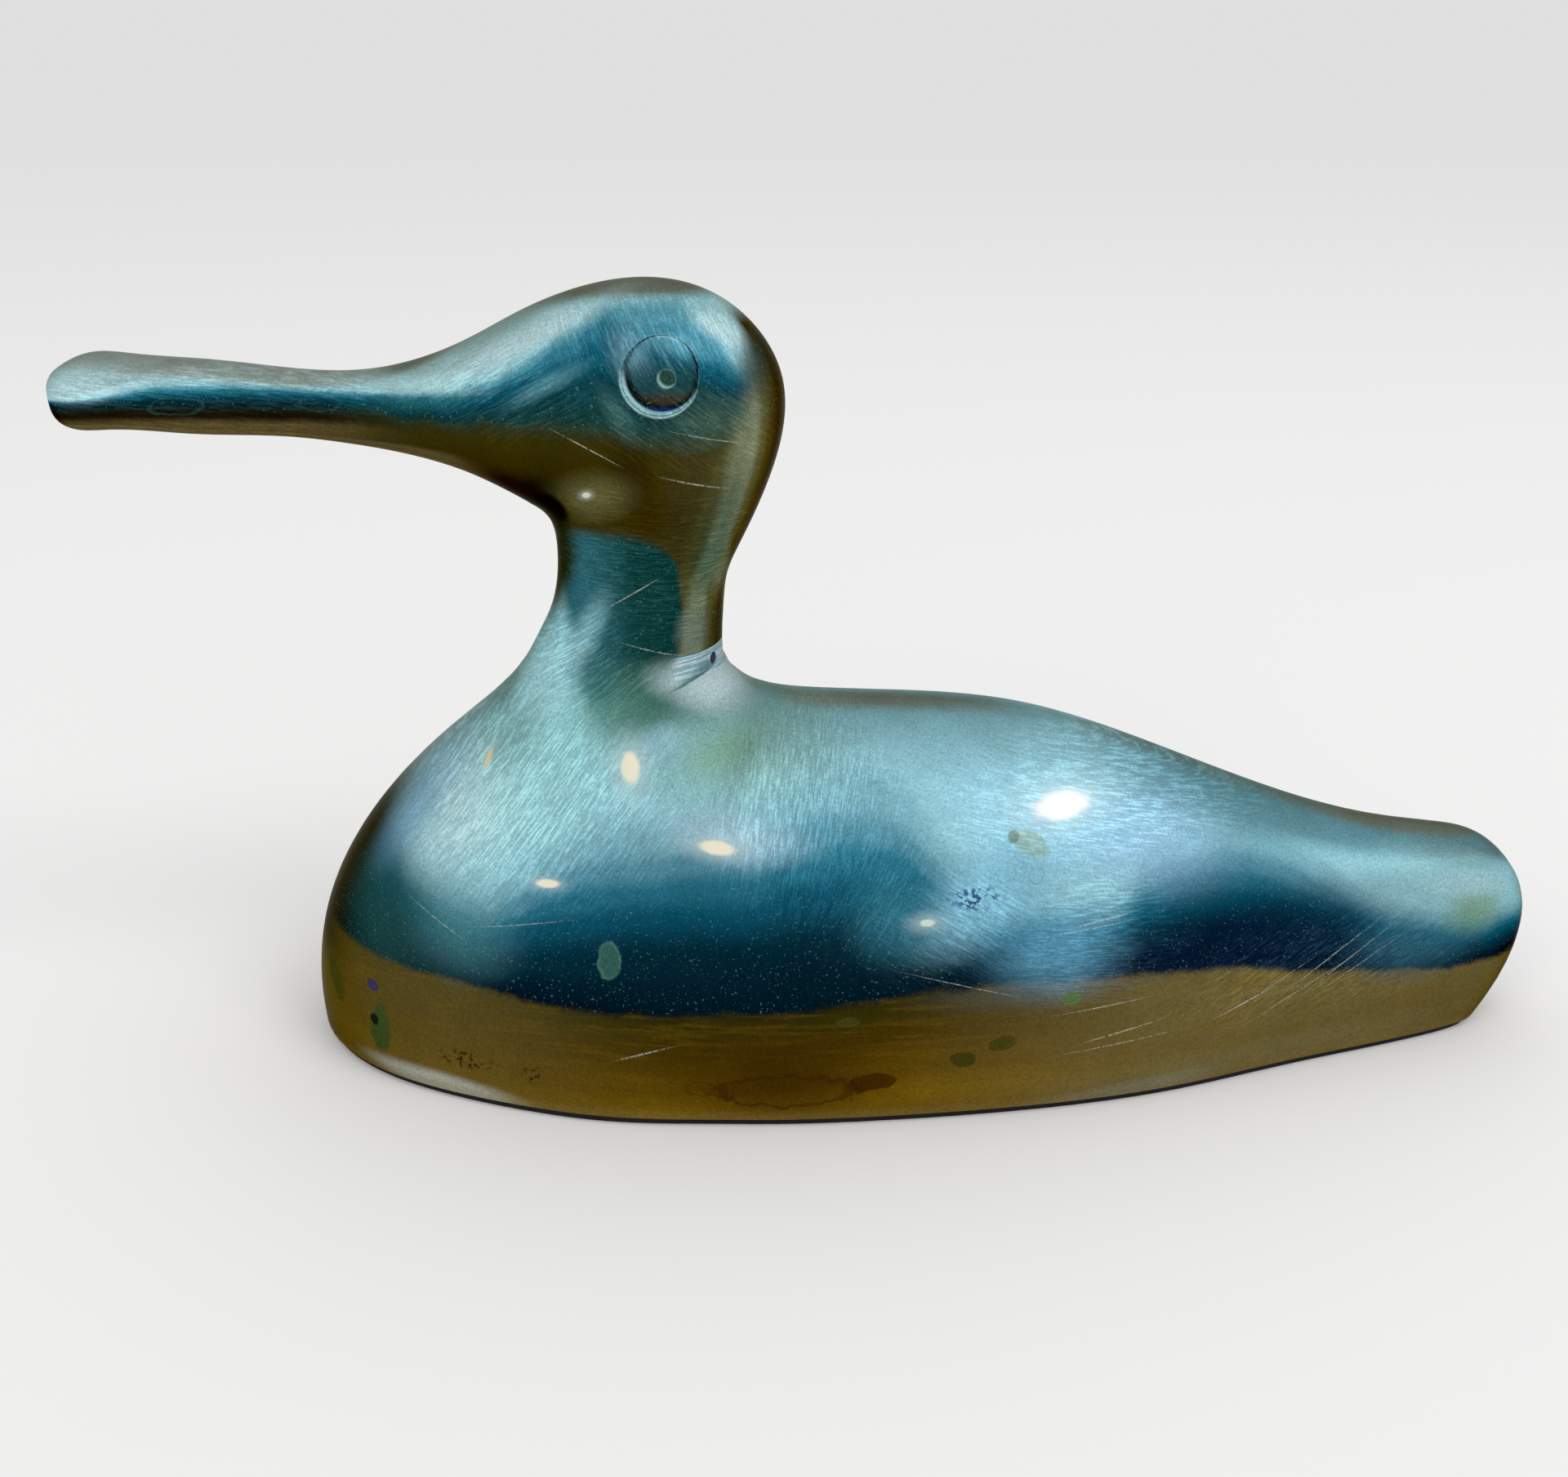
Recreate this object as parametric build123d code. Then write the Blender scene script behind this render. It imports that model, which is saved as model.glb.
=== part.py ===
from build123d import *
import math
import os

# A brass duck: a hollow cast body, and a head cast with its neck and bill, whose spigot is
# brazed and pinned into the body. A board closes the body from below, over a pad of felt.
# Lengths are in millimetres. The bill points along -X, +Z is up, the duck is alike on both
# sides of Y = 0, and the origin lies on the shelf under the middle of its length.

# Reaches along X, all measured from the back of the neck
rear_length = 94.2
breast_reach = 49.5
bill_reach = 67.9

# Heights above the shelf
back_height = 40.8
crown_height = 85.5

# Widths across
body_width = 51.8
neck_width = 17.5
head_width = 24.5
bill_width = 16.0

# The cast shell, and the board and felt under it
wall = 3.2
board_lip = 1.4
board_thickness = 2.0
board_fit = 0.1
felt_thickness = 0.9
felt_inset = 0.5

# The neck joint, a little above the back: the braze fills a groove round the neck's core
joint_rise = 3.6
braze_height = 2.6
braze_depth = 2.2
spigot_diameter = 10.0
spigot_length = 8.0
spigot_fit = 0.05
pin_diameter = 1.3
pin_length = 5.0
pin_fit = 0.02
pin_angle = 22

# The eyes, each a ball that looks out of a round pocket, with a small pocket for the pupil
eye_diameter = 7.6
eyeball_diameter = 20.0
pupil_diameter = 2.1
pupil_depth = 0.3

# How far the cutting shapes run past what they cut
overrun = 5.0

# Each row is one oval section of the outer form. The columns are the upper end's place along
# and up, the lower end's place along and up, the half width, how far down the widest line
# lies, and how square the upper and the lower half are, where 2 is an ellipse.
# Along is a share of rear_length behind the neck's back and of breast_reach before it. Up is
# a share of back_height, and past 1 a share of the rise from the back to the crown as well.
# What lies below the base only shapes the walls above it.
body_shares = (
    (0.999, 0.358, 0.999, 0.240, 0.070, 0.50, 2.2, 2.2),
    (0.990, 0.420, 0.990, 0.180, 0.125, 0.50, 2.5, 2.8),
    (0.972, 0.485, 0.972, 0.090, 0.180, 0.50, 2.7, 3.4),
    (0.940, 0.545, 0.940, -0.03, 0.235, 0.52, 2.7, 3.6),
    (0.889, 0.576, 0.889, -0.20, 0.305, 0.56, 2.5, 2.8),
    (0.805, 0.600, 0.805, -0.39, 0.410, 0.55, 2.3, 2.2),
    (0.678, 0.681, 0.678, -0.54, 0.564, 0.53, 2.1, 2.2),
    (0.530, 0.811, 0.530, -0.69, 0.757, 0.51, 2.0, 2.2),
    (0.361, 0.934, 0.361, -0.78, 0.896, 0.51, 2.0, 2.2),
    (0.192, 0.966, 0.192, -0.83, 0.973, 0.51, 2.0, 2.2),
    (0.087, 0.975, 0.070, -0.84, 1.000, 0.51, 2.0, 2.2),
    (0.050, 0.990, -0.120, -0.83, 1.000, 0.51, 2.0, 2.2),
    (0.032, 1.009, -0.480, -0.78, 0.980, 0.56, 2.0, 2.2),
    (0.017, 1.037, -0.885, -0.340, 0.850, 0.50, 1.9, 2.1),
    (0.010, 1.053, -0.976, 0.010, 0.765, 0.53, 1.9, 2.0),
    (0.006, 1.069, -0.950, 0.346, 0.650, 0.52, 1.9, 2.0),
    (0.000, 1.094, -0.660, 0.843, 0.476, 0.50, 1.9, 2.0),
    (0.000, 1.116, -0.448, 1.078, 0.386, 0.50, 2.0, 2.0),
)

# From here on, along is a share of bill_reach, forward from the back of the neck, and up is
# a share of the rise from the back to the crown.
neck_shares = (
    (0.000, 0.152, 0.301, 0.145, 1.06, 0.50, 2.0, 2.0),
    (-0.003, 0.228, 0.277, 0.219, 1.00, 0.50, 2.0, 2.0),
    (-0.011, 0.309, 0.264, 0.302, 1.00, 0.50, 2.0, 2.0),
)
head_shares = (
    (-0.036, 0.394, 0.262, 0.378, 0.75, 0.48, 2.0, 2.0),
    (-0.080, 0.546, 0.266, 0.424, 0.85, 0.46, 2.0, 2.0),
    (-0.098, 0.779, 0.272, 0.446, 0.963, 0.44, 2.0, 2.0),
    (-0.003, 0.958, 0.283, 0.465, 1.00, 0.44, 2.1, 2.0),
    (0.150, 0.997, 0.297, 0.480, 0.98, 0.45, 2.1, 2.0),
    (0.279, 0.942, 0.315, 0.500, 0.89, 0.46, 2.1, 2.1),
    (0.364, 0.878, 0.382, 0.556, 0.76, 0.50, 2.1, 2.3),
    (0.451, 0.822, 0.474, 0.605, 0.645, 0.55, 2.1, 2.6),
)
bill_shares = (
    (0.547, 0.790, 0.560, 0.634, 0.90, 0.60, 2.1, 3.0),
    (0.655, 0.790, 0.655, 0.654, 0.91, 0.62, 2.1, 3.4),
    (0.795, 0.812, 0.795, 0.662, 0.975, 0.62, 2.1, 3.6),
    (0.920, 0.826, 0.920, 0.672, 1.01, 0.62, 2.1, 3.6),
    (0.984, 0.824, 0.979, 0.677, 0.96, 0.60, 2.4, 3.4),
    (0.999, 0.810, 0.992, 0.690, 0.87, 0.55, 2.8, 3.2),
)
points_down = 8

# The rows of the body that the hollow follows
hollow_first = 4
hollow_last = 16

# The spigot's place along. Then the places along and up of each eye's pocket, of its ball, which
# lies lower and further forward so that its pocket is deepest there, and of the pupil, and how
# far out the ball reaches, as a share of half the head's width
spigot_along_share = 0.155
eye_along_share = 0.078
eye_up_share = 0.819
ball_along_share = 0.096
ball_up_share = 0.772
ball_out_share = 0.942
pupil_along_share = 0.069
pupil_up_share = 0.812

middle = (rear_length - bill_reach) / 2
head_rise = crown_height - back_height
duck_length = rear_length + bill_reach
board_top = felt_thickness + board_thickness
joint_height = back_height + joint_rise
neck_base = joint_height + braze_height


def body_place(along, up):
    reach = rear_length if along > 0 else breast_reach
    height = up * back_height if up < 1 else back_height + (up - 1) * head_rise
    return Vector(along * reach - middle, 0, height)


def head_place(along, up):
    return Vector(-along * bill_reach - middle, 0, back_height + up * head_rise)


def stations():
    """Each section's upper and lower end, its half width and its shape, from tail to bill."""
    rows = [(body_place, body_width, row) for row in body_shares]
    rows += [(head_place, neck_width, row) for row in neck_shares]
    rows += [(head_place, head_width, row) for row in head_shares]
    rows += [(head_place, bill_width, row) for row in bill_shares]
    for place, width, row in rows:
        yield place(*row[0:2]), place(*row[2:4]), row[4] * width / 2, row[5:8]


def half_oval(upper, lower, half_width, shape, inset=0):
    """One side of an oval in the plane of Y and the line from its upper to its lower end."""
    widest, upper_power, lower_power = shape
    down = (lower - upper).normalized()
    start = upper + down * inset
    length = (lower - upper).length - 2 * inset
    reach = half_width - inset
    points = []
    for step in range(points_down + 1):
        turn = math.pi * step / points_down
        power = upper_power if math.cos(turn) > 0 else lower_power
        rise = math.copysign(abs(math.cos(turn)) ** (2 / power), math.cos(turn))
        out = math.sin(turn) ** (2 / power) if 0 < step < points_down else 0
        share = widest - rise * (widest if rise > 0 else 1 - widest)
        points.append(start + down * (length * share) + Vector(0, reach * out, 0))
    knots = [step / points_down for step in range(points_down + 1)]
    leave = Vector(0, (points[1] - points[0]).length * points_down, 0)
    arrive = Vector(0, -(points[-1] - points[-2]).length * points_down, 0)
    return Edge.make_spline(points, tangents=[leave, arrive], parameters=knots, scale=False)


def form(inset=0, first=0, last=None):
    """The duck's skin, or one that lies inset inside it, through the rows first to last."""
    halves = [half_oval(*row, inset=inset) for row in list(stations())[first:last]]
    right = Shell.make_loft([Wire([half]) for half in halves]).faces()
    left = [face.mirror(Plane.XZ) for face in right]
    ends = [Face(Wire([half, half.mirror(Plane.XZ)])) for half in (halves[0], halves[-1])]
    return Solid(Shell([*right, *left, *ends]))


def slab(low, high):
    """All that lies between two heights."""
    box = Box(duck_length + 2 * overrun, body_width + 2 * overrun, high - low)
    return Pos(0, 0, (low + high) / 2) * box


def spigot(length, fit=0):
    """A round spigot from the joint down, or with a fit around it, its bore."""
    place = head_place(spigot_along_share, 0)
    middle_height = joint_height - length / 2
    return Pos(place.X, 0, middle_height) * Cylinder(spigot_diameter / 2 + fit, length)


def pin(fit=0):
    """A round pin from behind the neck toward the spigot's axis, half way up the braze."""
    place = head_place(spigot_along_share, 0)
    inner = spigot_along_share * bill_reach - pin_length
    length = pin_length + overrun
    lying = Pos(inner + length / 2, 0, 0) * Rot(0, 90, 0) * Cylinder(pin_diameter / 2 + fit, length)
    return Pos(place.X, 0, joint_height + braze_height / 2) * Rot(0, 0, -pin_angle) * lying


def sideways(place, side, depth_in, diameter):
    """A round cut from one side of the head, along Y, down to a distance from the middle."""
    length = head_width / 2 + overrun - depth_in
    lying = Rot(90, 0, 0) * Cylinder(diameter / 2, length)
    return Pos(place.X, side * (depth_in + length / 2), place.Z) * lying


def eye(side):
    """What one eye takes out of the head: a pocket round its ball, and the pupil."""
    radius = eyeball_diameter / 2
    centre = ball_out_share * head_width / 2 - radius
    middle_place = head_place(ball_along_share, ball_up_share)
    ball = Pos(middle_place.X, side * centre, middle_place.Z) * Sphere(radius)
    pocket = sideways(head_place(eye_along_share, eye_up_share), side, centre, eye_diameter) - ball
    pupil_place = head_place(pupil_along_share, pupil_up_share)
    surface = centre + math.sqrt(radius**2 - (pupil_place - middle_place).length ** 2)
    return pocket + sideways(pupil_place, side, surface - pupil_depth, pupil_diameter)


def body_casting(skin):
    """The hollow body, open below, with a ledge for the board and a bore for the spigot."""
    walls = skin & slab(felt_thickness, joint_height)
    hollow = form(wall, hollow_first, hollow_last) & slab(-back_height, joint_height)
    seat = form(board_lip) & slab(-overrun, board_top)
    bore = Pos(0, 0, overrun) * spigot(spigot_length + 2 * overrun, spigot_fit)
    return walls - hollow - seat - bore


def head_casting(skin):
    """The head, the bill and the neck, down through the braze to the end of the spigot."""
    head = skin & slab(neck_base, crown_height + overrun)
    core = form(braze_depth) & slab(joint_height, neck_base)
    return head + core + spigot(spigot_length) - pin(pin_fit) - eye(-1) - eye(1)


def neck_braze(skin):
    """The ring of filler that closes the groove between the two castings."""
    return (skin & slab(joint_height, neck_base)) - form(braze_depth) - pin(pin_fit)


def neck_pin(skin):
    """The pin that holds the head straight, its outer end dressed flush with the neck."""
    return pin() & skin


def base_board():
    """The board that closes the hollow, against the ledge in the walls."""
    return form(board_lip + board_fit) & slab(felt_thickness, board_top)


def felt_pad():
    """The felt under the board and the edge of the walls."""
    return form(felt_inset) & slab(0, felt_thickness)


os.makedirs("parts", exist_ok=True)
skin = form()
export_step(body_casting(skin), "parts/body_casting.step")
export_step(head_casting(skin), "parts/head_casting.step")
export_step(neck_braze(skin), "parts/neck_braze.step")
export_step(neck_pin(skin), "parts/neck_pin.step")
export_step(base_board(), "parts/base_board.step")
export_step(felt_pad(), "parts/felt_pad.step")
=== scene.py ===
import math
import bpy
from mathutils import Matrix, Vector

# The duck's looks. Places in the materials are in millimetres of the model's own frame, where
# the bill points along -X, and both sides of the duck are painted alike.
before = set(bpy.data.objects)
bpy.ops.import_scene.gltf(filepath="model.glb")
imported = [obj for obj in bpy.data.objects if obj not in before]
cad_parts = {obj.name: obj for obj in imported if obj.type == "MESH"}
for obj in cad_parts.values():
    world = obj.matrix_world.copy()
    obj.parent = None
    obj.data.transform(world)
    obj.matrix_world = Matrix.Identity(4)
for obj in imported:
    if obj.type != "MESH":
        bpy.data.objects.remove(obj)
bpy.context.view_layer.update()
MM = 0.001


def tone(red, green, blue):
    """A colour written as it shows on a screen, as the linear colour that a shader takes."""
    def linear(value):
        value = value / 255
        return value / 12.92 if value <= 0.04045 else ((value + 0.055) / 1.055) ** 2.4
    return (linear(red), linear(green), linear(blue), 1.0)


class Nodes:
    """Short calls for the nodes of one tree."""

    def __init__(self, tree):
        self.tree = tree

    def add(self, kind):
        return self.tree.nodes.new(kind)

    def plug(self, socket, value):
        if isinstance(value, bpy.types.NodeSocket):
            self.tree.links.new(value, socket)
        else:
            socket.default_value = value

    def math(self, operation, first, second=0.0, third=0.0, clamp=False):
        node = self.add("ShaderNodeMath")
        node.operation = operation
        node.use_clamp = clamp
        for socket, value in zip(node.inputs, (first, second, third)):
            self.plug(socket, value)
        return node.outputs[0]

    def split(self, vector):
        node = self.add("ShaderNodeSeparateXYZ")
        self.plug(node.inputs[0], vector)
        return node.outputs[0], node.outputs[1], node.outputs[2]

    def join(self, x=0.0, y=0.0, z=0.0):
        node = self.add("ShaderNodeCombineXYZ")
        for socket, value in zip(node.inputs, (x, y, z)):
            self.plug(socket, value)
        return node.outputs[0]

    def scale(self, vector, factor):
        node = self.add("ShaderNodeVectorMath")
        node.operation = "SCALE"
        self.plug(node.inputs[0], vector)
        self.plug(node.inputs["Scale"], factor)
        return node.outputs["Vector"]

    def step(self, value, low, high, start=0.0, end=1.0):
        """A smooth step from start at low to end at high."""
        node = self.add("ShaderNodeMapRange")
        node.interpolation_type = "SMOOTHSTEP"
        for socket, entry in zip(node.inputs, (value, low, high, start, end)):
            self.plug(socket, entry)
        return node.outputs[0]

    def curve(self, value, points):
        """A smooth curve through points of value and result."""
        low, high = points[0][0], points[-1][0]
        least = min(result for _, result in points)
        most = max(result for _, result in points)
        node = self.add("ShaderNodeFloatCurve")
        line = node.mapping.curves[0]
        while len(line.points) < len(points):
            line.points.new(0.5, 0.5)
        for point, (place, result) in zip(line.points, points):
            point.location = ((place - low) / (high - low), (result - least) / (most - least))
            point.handle_type = "AUTO_CLAMPED"
        node.mapping.update()
        share = self.math("DIVIDE", self.math("SUBTRACT", value, low), high - low, clamp=True)
        self.plug(node.inputs["Value"], share)
        return self.math("MULTIPLY_ADD", node.outputs[0], most - least, least)

    def ramp(self, value, stops):
        """Colours along value, from stops of value and colour."""
        low, high = stops[0][0], stops[-1][0]
        node = self.add("ShaderNodeValToRGB")
        node.color_ramp.interpolation = "EASE"
        entries = node.color_ramp.elements
        while len(entries) < len(stops):
            entries.new(0.5)
        for entry, (place, colour) in zip(entries, stops):
            entry.position = (place - low) / (high - low)
            entry.color = tone(*colour)
        share = self.math("DIVIDE", self.math("SUBTRACT", value, low), high - low, clamp=True)
        self.plug(node.inputs[0], share)
        return node.outputs[0]

    def mix(self, factor, first, second, strength=1.0, blend="MIX"):
        if strength != 1.0:
            factor = self.math("MULTIPLY", factor, strength)
        node = self.add("ShaderNodeMix")
        node.data_type = "RGBA"
        node.blend_type = blend
        for number, value in zip((0, 6, 7), (factor, first, second)):
            self.plug(node.inputs[number], value)
        return node.outputs[2]


spot_inputs = ("x", "z", "grain", "middle x", "middle z", "length", "height", "cosine", "sine",
               "soft", "wobble")


def spot_group():
    """A node that gives a soft oval on the duck's sides: 1 inside and 0 outside."""
    tree = bpy.data.node_groups.new("spot", "ShaderNodeTree")
    for name in spot_inputs:
        tree.interface.new_socket(name, in_out="INPUT", socket_type="NodeSocketFloat")
    tree.interface.new_socket("mask", in_out="OUTPUT", socket_type="NodeSocketFloat")
    nodes = Nodes(tree)
    entry = nodes.add("NodeGroupInput").outputs
    across = nodes.math("SUBTRACT", entry["x"], entry["middle x"])
    up = nodes.math("SUBTRACT", entry["z"], entry["middle z"])
    along = nodes.math("MULTIPLY", across, entry["cosine"])
    along = nodes.math("MULTIPLY_ADD", up, entry["sine"], along)
    aside = nodes.math("MULTIPLY", across, entry["sine"])
    aside = nodes.math("SUBTRACT", nodes.math("MULTIPLY", up, entry["cosine"]), aside)
    along = nodes.math("DIVIDE", along, entry["length"])
    aside = nodes.math("DIVIDE", aside, entry["height"])
    reach = nodes.math("MULTIPLY_ADD", along, along, nodes.math("MULTIPLY", aside, aside))
    reach = nodes.math("SQRT", reach)
    uneven = nodes.math("SUBTRACT", entry["grain"], 0.5)
    reach = nodes.math("MULTIPLY_ADD", uneven, entry["wobble"], reach)
    inner = nodes.math("SUBTRACT", 1.0, entry["soft"])
    outer = nodes.math("ADD", 1.0, entry["soft"])
    mask = nodes.step(reach, inner, outer, 1.0, 0.0)
    nodes.plug(nodes.add("NodeGroupOutput").inputs[0], mask)
    return tree


spot_tree = spot_group()


# Grains in millimetres: of the ragged edges of spots, and of brush marks, which are drawn out
edge_grain = 1.6
brush_grain = 0.16
brush_stretch = 14.0


class Paint(Nodes):
    """One material's nodes, with the place on the duck in millimetres."""

    def __init__(self, name):
        self.material = bpy.data.materials.new(name)
        self.material.use_nodes = True
        super().__init__(self.material.node_tree)
        self.shader = self.tree.nodes["Principled BSDF"]
        self.place = self.scale(self.add("ShaderNodeTexCoord").outputs["Object"], 1 / MM)
        self.x, _, self.z = self.split(self.place)
        self.grain = self.noise(edge_grain)

    def noise(self, size, detail=3.0, roughness=0.55, stretch=1.0, lean=0.0):
        """Noise from 0 to 1 whose grain is about size millimetres, drawn out at an angle to X."""
        mapping = self.add("ShaderNodeMapping")
        mapping.vector_type = "TEXTURE"
        self.plug(mapping.inputs["Vector"], self.place)
        mapping.inputs["Rotation"].default_value = (0, -math.radians(lean), 0)
        mapping.inputs["Scale"].default_value = (size * stretch, size * stretch, size)
        node = self.add("ShaderNodeTexNoise")
        self.plug(node.inputs["Vector"], mapping.outputs[0])
        node.inputs["Scale"].default_value = 1.0
        node.inputs["Detail"].default_value = detail
        node.inputs["Roughness"].default_value = roughness
        return node.outputs[0]

    def brush_lines(self, lean):
        return self.noise(brush_grain, detail=2.0, roughness=0.7, stretch=brush_stretch, lean=lean)

    def wander(self, noise, reach):
        """Noise from 0 to 1 as a distance either way, reach in all."""
        return self.math("MULTIPLY_ADD", noise, reach, -reach / 2)

    def spot(self, middle, size, soft=0.5, lean=0.0, wobble=0.0):
        """A soft oval on the duck's sides, by its middle and half size in x and z."""
        node = self.add("ShaderNodeGroup")
        node.node_tree = spot_tree
        angle = math.radians(lean)
        values = (self.x, self.z, self.grain, *middle, *size, math.cos(angle), math.sin(angle),
                  soft, wobble)
        for socket, value in zip(node.inputs, values):
            self.plug(socket, value)
        return node.outputs[0]

    def disc(self, middle, radius, soft, shift=(0.0, 0.0)):
        return self.spot((middle[0] + shift[0], middle[1] + shift[1]), (radius, radius), soft=soft)

    def both(self, first, second):
        """1 where both masks are 1."""
        return self.math("MULTIPLY", first, second)

    def outside(self, mask):
        return self.math("SUBTRACT", 1.0, mask)

    def emboss(self, height, strength, distance):
        """Relief as bump, distance millimetres deep."""
        bump = self.add("ShaderNodeBump")
        bump.inputs["Strength"].default_value = strength
        bump.inputs["Distance"].default_value = distance * MM
        self.plug(bump.inputs["Height"], height)
        self.plug(self.shader.inputs["Normal"], bump.outputs[0])


# Camera, at the photograph's place: it looks along +Y and down
camera_place = (-0.00628, -0.1728, 0.10505)
camera_pitch = math.radians(22.2)
sensor_width = 36.0
focal_length = 37.5


def set_camera():
    data = bpy.data.cameras.new("camera")
    data.sensor_width = sensor_width
    data.lens = focal_length
    data.clip_start = 0.01
    data.clip_end = 50.0
    camera = bpy.data.objects.new("camera", data)
    camera.location = camera_place
    camera.rotation_euler = (math.pi / 2 - camera_pitch, 0, 0)
    bpy.context.scene.collection.objects.link(camera)
    bpy.context.scene.camera = camera


# Heights along x: where the painted gold reflection turns to the painted blue reflection on the
# body and on the head, how far above that the painted blue has brightened half way, and where
# the painted dark reflection of the neck begins. Last, how far aft the surface faces, in degrees,
# where the painted olive reflection of the nape begins, by height.
body_edge = (
    (-64, 17), (-52, 15.2), (-45, 15), (-38, 14.2), (-29, 13), (-22, 12.7), (-15, 13.2),
    (-7, 13.5), (1.5, 14.3), (10, 15.2), (20, 15.4), (32, 15), (42, 13.8), (52, 11.9),
    (63, 10.3), (73, 9.2), (81, 9.6),
)
body_rise = (
    (-64, 16), (-55, 15), (-49, 12), (-41, 7), (-36, 9), (-30, 12.5), (-22, 14.5), (-11, 14.6),
    (-2, 16.4), (4, 15.5), (9, 12), (14, 8.4), (19, 6), (26, 5.6), (33, 8.8), (42, 10.6),
    (54, 8.4), (65, 5.4), (81, 4.6),
)
head_edge = (
    (-82, 73.3), (-70, 73.5), (-61, 73.4), (-52, 73.1), (-46, 72.7), (-41, 72.2), (-32, 72.3),
    (-27, 72.2), (-23, 71.5), (-19, 70.8), (-16, 70.8), (-13, 71.8), (-9, 72.6),
)
head_rise = (
    (-82, 0.8), (-77, 1.0), (-73, 1.5), (-69, 1.9), (-61, 1.9), (-53, 1.6), (-44, 2.4),
    (-36, 3.8), (-31.5, 6), (-27, 9), (-19, 12.2), (-15, 11), (-13, 8.2), (-10.4, 5), (-9, 4),
)
neck_dark = (
    (-38, 63), (-33, 60), (-30.5, 56), (-29, 51), (-27.8, 47.6), (-26.5, 44.6), (-24, 42.8),
    (-20, 41.6), (-14, 42),
)
neck_top = (
    (-38, 60), (-30, 60), (-27, 60.5), (-22, 60.8), (-19.6, 60.0), (-17.4, 57.6), (-16, 53),
    (-9, 52),
)
nape_start = (
    (44, 29), (50, 33), (54, 28), (57.6, 21), (61, 20), (66, 22), (70, 28), (74, 38), (77, 48),
    (80, 58), (86, 78),
)
crest_start = (
    (-82, 64), (-30, 64), (-14, 76), (10, 79), (24, 76), (36, 67), (81, 68),
)

# Tones of the painted reflections: blues above the border by share of the rise, golds below it by
# depth, and olives of the nape by how far aft the surface faces
body_blues = (
    (0.0, (1, 18, 30)), (0.12, (2, 28, 44)), (0.4, (4, 54, 72)), (0.68, (12, 88, 112)),
    (0.85, (40, 116, 140)), (1.0, (88, 150, 170)), (1.2, (134, 190, 204)),
    (1.45, (160, 216, 228)), (2.2, (160, 218, 230)), (4.0, (154, 208, 216)),
)
head_blues = (
    (0.0, (46, 62, 42)), (0.14, (18, 58, 54)), (0.45, (8, 66, 76)), (0.7, (10, 88, 110)),
    (0.88, (50, 124, 146)), (1.0, (96, 166, 184)), (1.15, (166, 222, 232)),
    (1.4, (188, 232, 238)), (1.9, (170, 206, 206)),
)
body_golds = (
    (0.0, (42, 40, 14)), (1.2, (56, 50, 10)), (4.0, (74, 56, 6)), (8.0, (100, 76, 8)),
    (11.5, (132, 102, 14)), (14.0, (124, 98, 20)),
)
jaw_golds = (
    (0.0, (50, 56, 32)), (1.5, (58, 52, 8)), (4.0, (60, 48, 2)), (8.0, (54, 42, 0)),
    (11.0, (58, 52, 12)),
)
nape_olives = (
    (20, (70, 66, 28)), (30, (82, 80, 44)), (40, (124, 130, 100)), (48, (138, 144, 114)),
    (55, (102, 100, 60)), (62, (86, 74, 34)), (70, (66, 54, 22)), (90, (88, 80, 44)),
)


# Soft darker painted reflections within the body's painted blue: x, z, half length, half height,
# softness, colour, strength
blue_shades = (
    (46, 15.5, 16, 4.6, 0.6, (3, 20, 50), 0.8),
    (-8, 17.5, 20, 4, 0.8, (3, 34, 46), 0.7),
    (-50, 21, 6, 8, 0.7, (44, 92, 88), 0.6),
)

# How far the borders between tones wander up and down, in millimetres: in waves and in a finer
# fringe, and the share by which they wander less on the slim bill
border_waves = 1.4
border_fringe = 0.9
bill_calm = 0.75

# Where one tone gives way to the next, as the start and the end of a smooth step: along x,
bill_along = (-42, -56)
ridge_along = (24, 38)
aft_gold_along = (2, 38)
fore_gold_along = (-18, -44)
fore_neck_along = (-21, -28)
nape_gold_along = (-20, -15)
throat_along = (-42, -34)
# by height,
head_level = (62, 64)
throat_level = (58, 61)
breast_level = (62, 57)
breast_gold_level = (14, 9)
joint_level = (47.0, 47.2)
rim_level = (2.3, 1.2)
# by distance from a curve of the tables above, in millimetres,
blue_border = (-0.6, 0.4)
neck_border = (-6.0, 2.0)
jaw_border = (-0.9, 0.9)
crown_border = (-0.5, 0.5)
bill_shadow = (1.3, 0.5)
bill_floor = (0.6, 1.6)
# and by how the surface faces, in degrees up or aft
ridge_rise = (38, 52)
under_rise = (-30, -46)
breast_turn = (-42, -72)
breast_rise = (64, 34)
nape_rise = (56, 44)
crest_border = (-3, 9)
nape_border = (-2, 3)


def facing(paint):
    """How steeply up and how far aft the surface faces, in degrees, and how squarely sideways."""
    normal = paint.add("ShaderNodeNewGeometry").outputs["Normal"]
    nx, ny, nz = paint.split(normal)
    square = paint.math("ABSOLUTE", ny)
    rise = paint.math("DEGREES", paint.math("ARCSINE", nz))
    turn = paint.math("DEGREES", paint.math("ARCTAN2", nx, square))
    return rise, turn, square


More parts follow.
